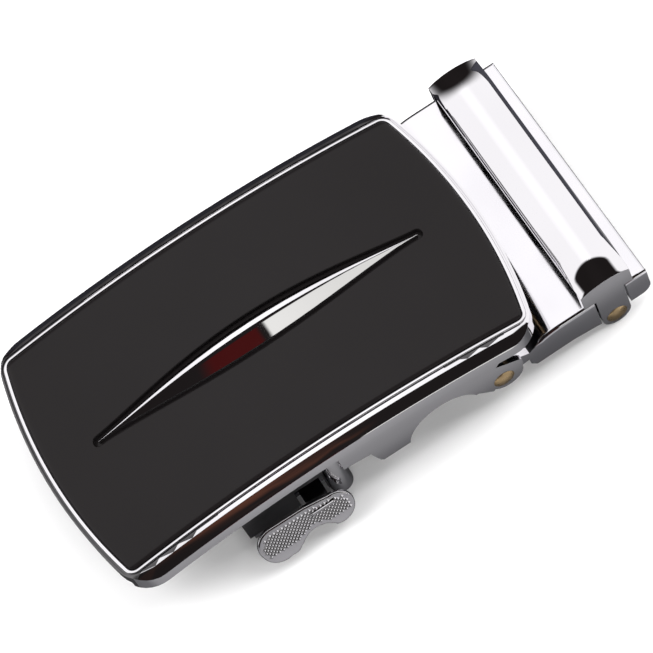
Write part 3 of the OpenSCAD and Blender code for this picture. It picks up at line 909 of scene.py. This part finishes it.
# The streaks' pattern: how it is stretched, its scale, and where it starts and is full
STREAK_STRETCH = (2.2, 9.0, 26.0)
STREAK_SCALE = 1.6
STREAK_LOW, STREAK_HIGH = 0.42, 0.66
RED_PATCH = ((0.05, 0.006, 0.006), (("Y", -0.80, -0.84), ("X", 0.03, 0.01),
                                    ("X", -0.2, -0.14), ("Z", 0.26, 0.22), ("Z", 0.01, 0.04)))
WINDOW = ((0.75, 0.75, 0.72), (("Y", -0.60, -0.66), ("X", 0.04, 0.055),
                               ("Z", 0.30, 0.28), ("Z", 0.02, 0.05)))
# The light is weaker towards the ends of the belt: where it falls, and what is left
FALL_START, FALL_END, FALL_SHARE = 0.08, 0.34, 0.87
# Painted reflection of the floor, which only the chrome sees: colours from the near side to the
# far side, with painted shade just in front of the object and darkness towards the far side
FLOOR_NEAR_Y, FLOOR_FAR_Y = -0.06, 0.04
FLOOR_PAINTED_REFLECTION = ((0.0, (0.2, 0.198, 0.205)), (0.20, (0.28, 0.278, 0.285)),
              (0.31, (0.36, 0.358, 0.365)), (0.365, (0.2, 0.2, 0.205)),
              (0.40, (0.11, 0.11, 0.115)), (0.75, (0.05, 0.05, 0.05)),
              (0.85, (0.015, 0.015, 0.018)))
# A painted brighter patch in that reflection, beyond the clip's free end
PAINTED_BRIGHT_X, PAINTED_BRIGHT_SHARE = (0.040, 0.050), 3.0
LAMPS = (("lamp_left", (-0.45, 0.1, 0.7)), ("lamp_right", (0.45, 0.0, 0.7)),
         ("lamp_front", (0.0, -0.6, 0.6)))
LAMP_WIDTH = 0.5


def ramp_node(nodes, stops):
    ramp = nodes.new("ShaderNodeValToRGB")
    ramp.color_ramp.interpolation = "EASE"
    points = ramp.color_ramp.elements
    while len(points) > 1:
        points.remove(points[-1])
    for i, (place, colour) in enumerate(stops):
        point = points[0] if i == 0 else points.new(place)
        point.position = place
        point.color = (*colour, 1.0)
    return ramp


class BUCKLE_OT_stage(bpy.types.Operator):
    """Sets the camera, the pale floor and the soft light"""
    bl_idname = "buckle.stage"
    bl_label = "Stage"

    def execute(self, context):
        look = context.scene.buckle_stage
        self.camera(context)
        self.floor(context, look)
        self.sky(context, look)
        self.lamps(context, look)
        context.scene.view_settings.view_transform = "Standard"
        return {"FINISHED"}

    def camera(self, context):
        data = bpy.data.cameras.new("camera")
        cam = bpy.data.objects.new("camera", data)
        context.scene.collection.objects.link(cam)
        back = CAMERA_RIGHT.cross(CAMERA_UP)
        place = Matrix((CAMERA_RIGHT, CAMERA_UP, back)).transposed().to_4x4()
        place.translation = CAMERA_PLACE
        cam.matrix_world = place
        data.sensor_fit = "HORIZONTAL"
        data.sensor_width = 36.0
        data.lens = CAMERA_LENS
        data.clip_start = 0.01
        data.clip_end = 20.0
        context.scene.camera = cam

    def floor(self, context, look):
        clear()
        bpy.ops.mesh.primitive_plane_add(size=6.0, location=(0.0, 0.0, 0.0))
        floor = bpy.context.object
        floor.name = "floor"
        mat = bpy.data.materials.new("pale floor")
        mat.use_nodes = True
        n, link = mat.node_tree.nodes, mat.node_tree.links.new
        shader = n["Principled BSDF"]
        shader.inputs["Roughness"].default_value = 0.7
        shader.inputs["Specular IOR Level"].default_value = 0.0
        coords = n.new("ShaderNodeTexCoord")
        split = n.new("ShaderNodeSeparateXYZ")
        link(coords.outputs["Object"], split.inputs[0])
        spread = n.new("ShaderNodeMapRange")
        spread.inputs["From Min"].default_value = FLOOR_NEAR_Y
        spread.inputs["From Max"].default_value = FLOOR_FAR_Y
        link(split.outputs["Y"], spread.inputs["Value"])
        # The painted reflection's ramp, with its painted shade close in front of the object
        far = ramp_node(n, FLOOR_PAINTED_REFLECTION)
        link(spread.outputs["Result"], far.inputs["Fac"])
        side = n.new("ShaderNodeMapRange")
        for label, value in (("From Min", PAINTED_BRIGHT_X[0]), ("From Max", PAINTED_BRIGHT_X[1]),
                             ("To Min", 1.0), ("To Max", PAINTED_BRIGHT_SHARE)):
            side.inputs[label].default_value = value
        link(split.outputs["X"], side.inputs["Value"])
        painted_reflection = n.new("ShaderNodeVectorMath")
        painted_reflection.operation = "SCALE"
        link(far.outputs["Color"], painted_reflection.inputs[0])
        link(side.outputs["Result"], painted_reflection.inputs["Scale"])
        # Glossy rays see the painted reflection of the floor; all other rays see the evenly pale
        # floor
        path = n.new("ShaderNodeLightPath")
        mix = n.new("ShaderNodeMix")
        mix.data_type = "RGBA"
        link(path.outputs["Is Glossy Ray"], mix.inputs["Factor"])
        mix.inputs[6].default_value = (*look.floor, 1.0)
        link(painted_reflection.outputs[0], mix.inputs[7])
        link(mix.outputs[2], shader.inputs["Base Color"])
        floor.data.materials.append(mat)

    def sky(self, context, look):
        world = bpy.data.worlds.new("studio")
        world.use_nodes = True
        context.scene.world = world
        n, link = world.node_tree.nodes, world.node_tree.links.new
        coords = n.new("ShaderNodeTexCoord")
        split = n.new("ShaderNodeSeparateXYZ")
        link(coords.outputs["Generated"], split.inputs[0])
        slant = n.new("ShaderNodeMath")
        slant.operation = "MULTIPLY_ADD"
        slant.inputs[1].default_value = SLANT_SHARE
        link(split.outputs["X"], slant.inputs[0])
        link(split.outputs["Y"], slant.inputs[2])
        axes = {"X": split.outputs["X"], "Y": split.outputs["Y"], "Z": split.outputs["Z"],
                "slant": slant.outputs[0]}

        def reach(axis, low, high):
            """A number that runs from 0 to 1 as the direction passes low to high."""
            node = n.new("ShaderNodeMapRange")
            node.interpolation_type = "SMOOTHSTEP"
            node.inputs["From Min"].default_value = low
            node.inputs["From Max"].default_value = high
            link(axes[axis], node.inputs["Value"])
            return node.outputs["Result"]

        def times(*values):
            total = values[0]
            for value in values[1:]:
                node = n.new("ShaderNodeMath")
                node.operation = "MULTIPLY"
                link(total, node.inputs[0])
                link(value, node.inputs[1])
                total = node.outputs[0]
            return total

        def add(base, amount, colour):
            node = n.new("ShaderNodeMix")
            node.data_type = "RGBA"
            link(amount, node.inputs["Factor"])
            link(base, node.inputs[6])
            node.inputs[7].default_value = (*colour, 1.0)
            return node.outputs[2]

        streaks = n.new("ShaderNodeMapping")
        streaks.inputs["Scale"].default_value = STREAK_STRETCH
        link(coords.outputs["Generated"], streaks.inputs["Vector"])
        noise = n.new("ShaderNodeTexNoise")
        noise.inputs["Scale"].default_value = STREAK_SCALE
        noise.inputs["Detail"].default_value = 3.0
        link(streaks.outputs["Vector"], noise.inputs["Vector"])
        lit = n.new("ShaderNodeMapRange")
        lit.inputs["From Min"].default_value = STREAK_LOW
        lit.inputs["From Max"].default_value = STREAK_HIGH
        link(noise.outputs["Fac"], lit.inputs["Value"])
        dark = n.new("ShaderNodeRGB")
        dark.outputs[0].default_value = (*DARK_ROOM, 1.0)
        room = dark.outputs[0]
        for (colour, edges), masks in ((OVERHEAD, ()), (BROWN_STREAKS, (lit.outputs["Result"],)),
                                       (RED_PATCH, ()), (WINDOW, ())):
            part = times(*(reach(*edge) for edge in edges), *masks)
            room = add(room, part, colour)
        ends = n.new("ShaderNodeMath")
        ends.operation = "ABSOLUTE"
        link(split.outputs["X"], ends.inputs[0])
        fall = n.new("ShaderNodeMapRange")
        for label, value in (("From Min", FALL_START), ("From Max", FALL_END),
                             ("To Min", look.overhead),
                             ("To Max", look.overhead * FALL_SHARE)):
            fall.inputs[label].default_value = value
        link(ends.outputs[0], fall.inputs["Value"])
        shine = n["Background"]
        link(fall.outputs["Result"], shine.inputs["Strength"])
        link(room, shine.inputs["Color"])

    def lamps(self, context, look):
        for name, place in LAMPS:
            data = bpy.data.lights.new(name, "AREA")
            data.size = LAMP_WIDTH
            data.energy = look.lamp
            lamp = bpy.data.objects.new(name, data)
            context.scene.collection.objects.link(lamp)
            lamp.location = place
            lamp.rotation_euler = (-Vector(place)).to_track_quat("-Z", "Y").to_euler()
            lamp.visible_glossy = False


class BUCKLE_PT_panel(bpy.types.Panel):
    """Lists the buckle's operators, sizes and colours"""
    bl_idname = "BUCKLE_PT_panel"
    bl_label = "Ratchet belt buckle"
    bl_space_type = "VIEW_3D"
    bl_region_type = "UI"
    bl_category = "Buckle"

    def draw(self, context):
        for name in ("edges", "panel", "knurl", "finish", "stage"):
            group = getattr(context.scene, f"buckle_{name}")
            box = self.layout.box()
            for key in group.bl_rna.properties.keys():
                if key not in ("rna_type", "name"):
                    box.prop(group, key)
        for cls in OPERATORS:
            self.layout.operator(cls.bl_idname)


GROUP_TYPES = {
    "buckle_edges": BuckleEdges, "buckle_panel": BucklePanel, "buckle_knurl": BuckleKnurl,
    "buckle_finish": BuckleFinish, "buckle_stage": BuckleStage,
}
OPERATORS = (
    BUCKLE_OT_stage, BUCKLE_OT_cast_frame, BUCKLE_OT_inlay_panel, BUCKLE_OT_spindle,
    BUCKLE_OT_strap_clip, BUCKLE_OT_hidden_steel, BUCKLE_OT_rivets,
    BUCKLE_OT_release_lever,
)


def register():
    for cls in (*GROUP_TYPES.values(), *OPERATORS, BUCKLE_PT_panel):
        bpy.utils.register_class(cls)
    for name, cls in GROUP_TYPES.items():
        setattr(bpy.types.Scene, name, bpy.props.PointerProperty(type=cls))


def unregister():
    for name in GROUP_TYPES:
        delattr(bpy.types.Scene, name)
    for cls in reversed((*GROUP_TYPES.values(), *OPERATORS, BUCKLE_PT_panel)):
        bpy.utils.unregister_class(cls)


def main():
    register()
    bpy.ops.buckle.stage()
    bpy.ops.buckle.cast_frame()
    bpy.ops.buckle.inlay_panel()
    bpy.ops.buckle.spindle()
    bpy.ops.buckle.strap_clip()
    bpy.ops.buckle.hidden_steel()
    bpy.ops.buckle.rivets()
    bpy.ops.buckle.release_lever()


if __name__ == "__main__":
    main()
